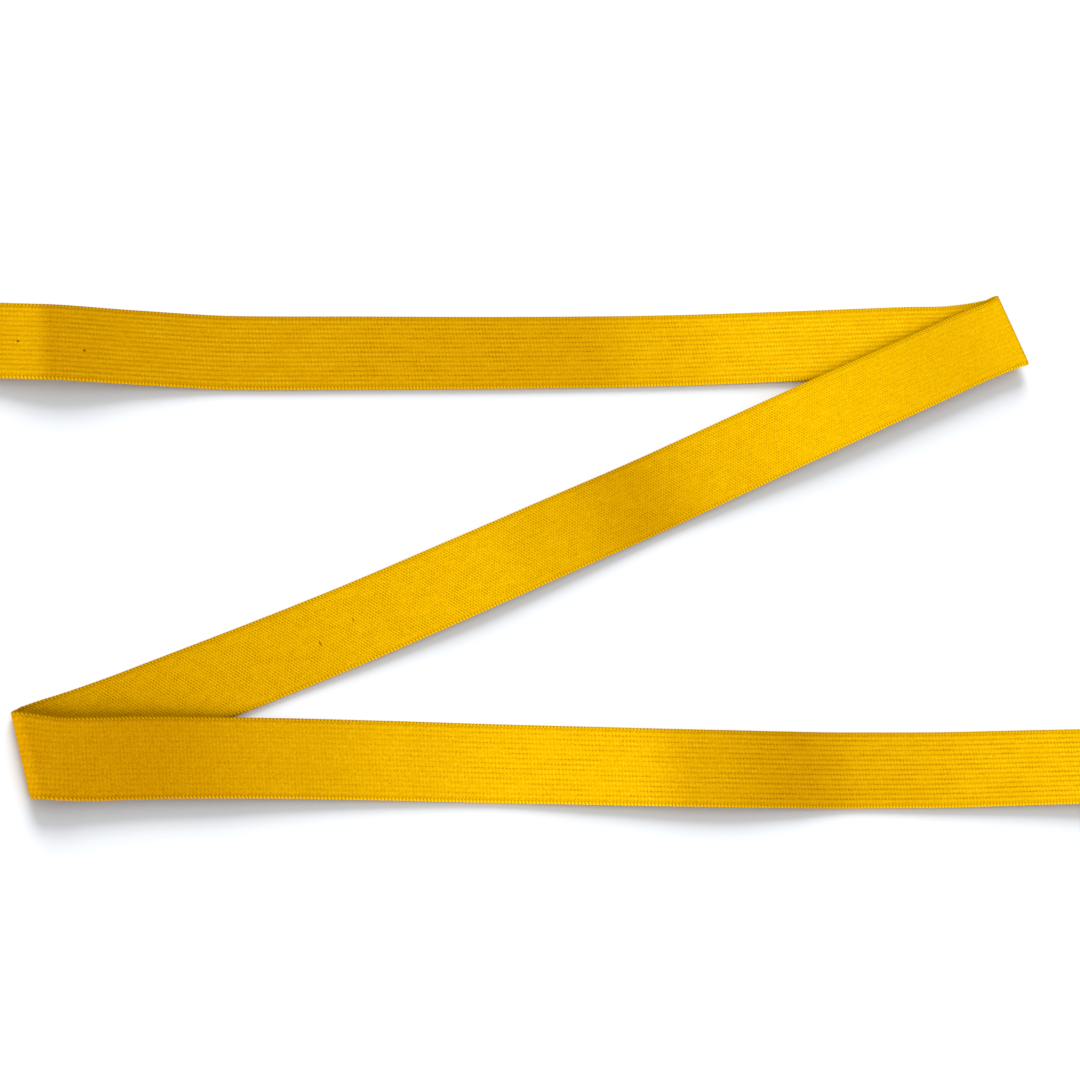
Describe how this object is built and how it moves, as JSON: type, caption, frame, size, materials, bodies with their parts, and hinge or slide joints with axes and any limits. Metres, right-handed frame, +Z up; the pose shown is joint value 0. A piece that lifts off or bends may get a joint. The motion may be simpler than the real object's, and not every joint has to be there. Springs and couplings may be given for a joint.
{
  "type": "martial arts belt",
  "caption": "Long flat ribbed knit belt laid out in a Z, with two folds that open flat and hemmed ends that curl.",
  "frame": {"origin": "on the ground, in the middle of the folded belt's footprint", "axes": "+X along the outer runs, +Y from the lower run to the upper run, +Z up"},
  "size_m": [0.6346, 0.2863, 0.0104],
  "materials": {
    "back_knit": "matte smooth twill knit",
    "face_knit": "matte ribbed knit",
    "thread": "sewing thread",
    "selvedge": "whipped edge cord",
    "rib_filling": "soft corded filling yarn"
  },
  "bodies": {
    "upper_end_tip": {"upper_end_tip_back_knit": "back_knit", "upper_end_tip_face_knit": "face_knit", "upper_end_tip_hem_flap": "back_knit", "upper_end_tip_hem_thread": "thread", "upper_end_tip_left_selvedge": "selvedge", "upper_end_tip_rib_filling": "rib_filling", "upper_end_tip_right_selvedge": "selvedge"},
    "upper_end_root": {"upper_end_root_back_knit": "back_knit", "upper_end_root_face_knit": "face_knit", "upper_end_root_left_selvedge": "selvedge", "upper_end_root_rib_filling": "rib_filling", "upper_end_root_right_selvedge": "selvedge"},
    "upper_run": {"upper_run_back_knit": "back_knit", "upper_run_face_knit": "face_knit", "upper_run_left_selvedge": "selvedge", "upper_run_rib_filling": "rib_filling", "upper_run_right_selvedge": "selvedge"},
    "right_fold_near": {"right_fold_near_back_knit": "back_knit", "right_fold_near_face_knit": "face_knit", "right_fold_near_left_selvedge": "selvedge", "right_fold_near_rib_filling": "rib_filling", "right_fold_near_right_selvedge": "selvedge"},
    "right_fold_far": {"right_fold_far_back_knit": "back_knit", "right_fold_far_face_knit": "face_knit", "right_fold_far_left_selvedge": "selvedge", "right_fold_far_rib_filling": "rib_filling", "right_fold_far_right_selvedge": "selvedge"},
    "middle_run": {"middle_run_back_knit": "back_knit", "middle_run_face_knit": "face_knit", "middle_run_left_selvedge": "selvedge", "middle_run_rib_filling": "rib_filling", "middle_run_right_selvedge": "selvedge"},
    "left_fold_near": {"left_fold_near_back_knit": "back_knit", "left_fold_near_face_knit": "face_knit", "left_fold_near_left_selvedge": "selvedge", "left_fold_near_rib_filling": "rib_filling", "left_fold_near_right_selvedge": "selvedge"},
    "left_fold_far": {"left_fold_far_back_knit": "back_knit", "left_fold_far_face_knit": "face_knit", "left_fold_far_left_selvedge": "selvedge", "left_fold_far_rib_filling": "rib_filling", "left_fold_far_right_selvedge": "selvedge"},
    "lower_run": {"lower_run_back_knit": "back_knit", "lower_run_face_knit": "face_knit", "lower_run_left_selvedge": "selvedge", "lower_run_rib_filling": "rib_filling", "lower_run_right_selvedge": "selvedge"},
    "lower_end_root": {"lower_end_root_back_knit": "back_knit", "lower_end_root_face_knit": "face_knit", "lower_end_root_left_selvedge": "selvedge", "lower_end_root_rib_filling": "rib_filling", "lower_end_root_right_selvedge": "selvedge"},
    "lower_end_tip": {"lower_end_tip_back_knit": "back_knit", "lower_end_tip_face_knit": "face_knit", "lower_end_tip_hem_flap": "back_knit", "lower_end_tip_hem_thread": "thread", "lower_end_tip_left_selvedge": "selvedge", "lower_end_tip_rib_filling": "rib_filling", "lower_end_tip_right_selvedge": "selvedge"}
  },
  "joints": [
    {"name": "right_fold", "type": "hinge", "parent": "upper_run", "child": "middle_run", "pos_m": [0.27626, 0.12413, 0.0056], "axis": [-0.2924, 0.9563, 0], "range_deg": [0, 180]},
    {"name": "right_bend_near", "type": "hinge", "parent": "upper_run", "child": "right_fold_near", "pos_m": [0.2743, 0.1237, 0.0036], "axis": [-0.2924, 0.9563, 0], "range_deg": [0, 90]},
    {"name": "right_bend_far", "type": "hinge", "parent": "middle_run", "child": "right_fold_far", "pos_m": [0.27439, 0.12339, 0.0076], "axis": [0.2924, -0.9563, 0], "range_deg": [0, 90]},
    {"name": "left_fold", "type": "hinge", "parent": "middle_run", "child": "lower_run", "pos_m": [-0.27982, -0.11478, 0.0052], "axis": [0.1702, -0.9854, 0], "range_deg": [0, 180]},
    {"name": "left_bend_near", "type": "hinge", "parent": "middle_run", "child": "left_fold_near", "pos_m": [-0.2761, -0.1128, 0.0012], "axis": [0.1702, -0.9854, 0], "range_deg": [0, 90]},
    {"name": "left_bend_far", "type": "hinge", "parent": "lower_run", "child": "left_fold_far", "pos_m": [-0.27565, -0.11539, 0.0092], "axis": [-0.1702, 0.9854, 0], "range_deg": [0, 90]},
    {"name": "upper_end_curl_a", "type": "hinge", "parent": "upper_run", "child": "upper_end_root", "pos_m": [-0.251, 0.0965, 0.009], "axis": [0.0133, 0.9999, 0], "range_deg": [-20, 60]},
    {"name": "upper_end_curl_b", "type": "hinge", "parent": "upper_end_root", "child": "upper_end_tip", "pos_m": [-0.284, 0.098, 0.0056], "axis": [0.0303, 0.9995, 0], "range_deg": [-20, 60]},
    {"name": "lower_end_curl_a", "type": "hinge", "parent": "lower_run", "child": "lower_end_root", "pos_m": [0.251, -0.1235, 0.004], "axis": [0, -1, 0], "range_deg": [-20, 60]},
    {"name": "lower_end_curl_b", "type": "hinge", "parent": "lower_end_root", "child": "lower_end_tip", "pos_m": [0.284, -0.1235, 0.0052], "axis": [0.0076, -1, 0], "range_deg": [-20, 60]}
  ],
  "couplings": [
    {"joint": "right_bend_near", "follows": "right_fold", "ratio": 0.5},
    {"joint": "right_bend_far", "follows": "right_fold", "ratio": 0.5},
    {"joint": "left_bend_near", "follows": "left_fold", "ratio": 0.5},
    {"joint": "left_bend_far", "follows": "left_fold", "ratio": 0.5},
    {"joint": "upper_end_curl_b", "follows": "upper_end_curl_a", "ratio": 1},
    {"joint": "lower_end_curl_b", "follows": "lower_end_curl_a", "ratio": 1}
  ]
}
